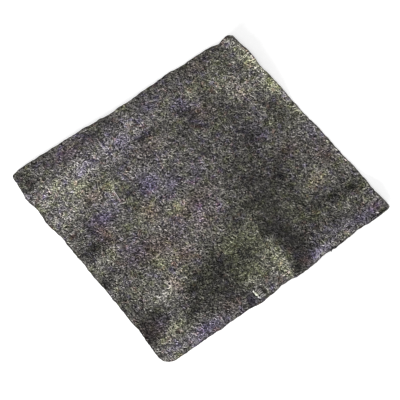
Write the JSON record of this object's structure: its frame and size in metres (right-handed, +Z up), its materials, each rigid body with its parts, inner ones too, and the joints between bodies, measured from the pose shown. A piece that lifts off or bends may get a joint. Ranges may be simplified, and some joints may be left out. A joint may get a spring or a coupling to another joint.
{
  "type": "nori sheet",
  "caption": "Full sheet of roasted seaweed: nearly square, paper-thin and crisp, with low uneven waves, a few sharper folds, wandering edges, rounded corners and one lifted corner, lying loose.",
  "frame": {"origin": "on the surface that the sheet lies on, under the middle of its bounding box", "axes": "+X along the longer sides, +Y along the shorter sides, +Z up, the shown face upward"},
  "size_m": [0.21, 0.1958, 0.0063],
  "materials": {
    "roasted_seaweed": "satin, finely grained"
  },
  "bodies": {
    "root": {"nori_sheet": "roasted_seaweed"}
  },
  "joints": []
}
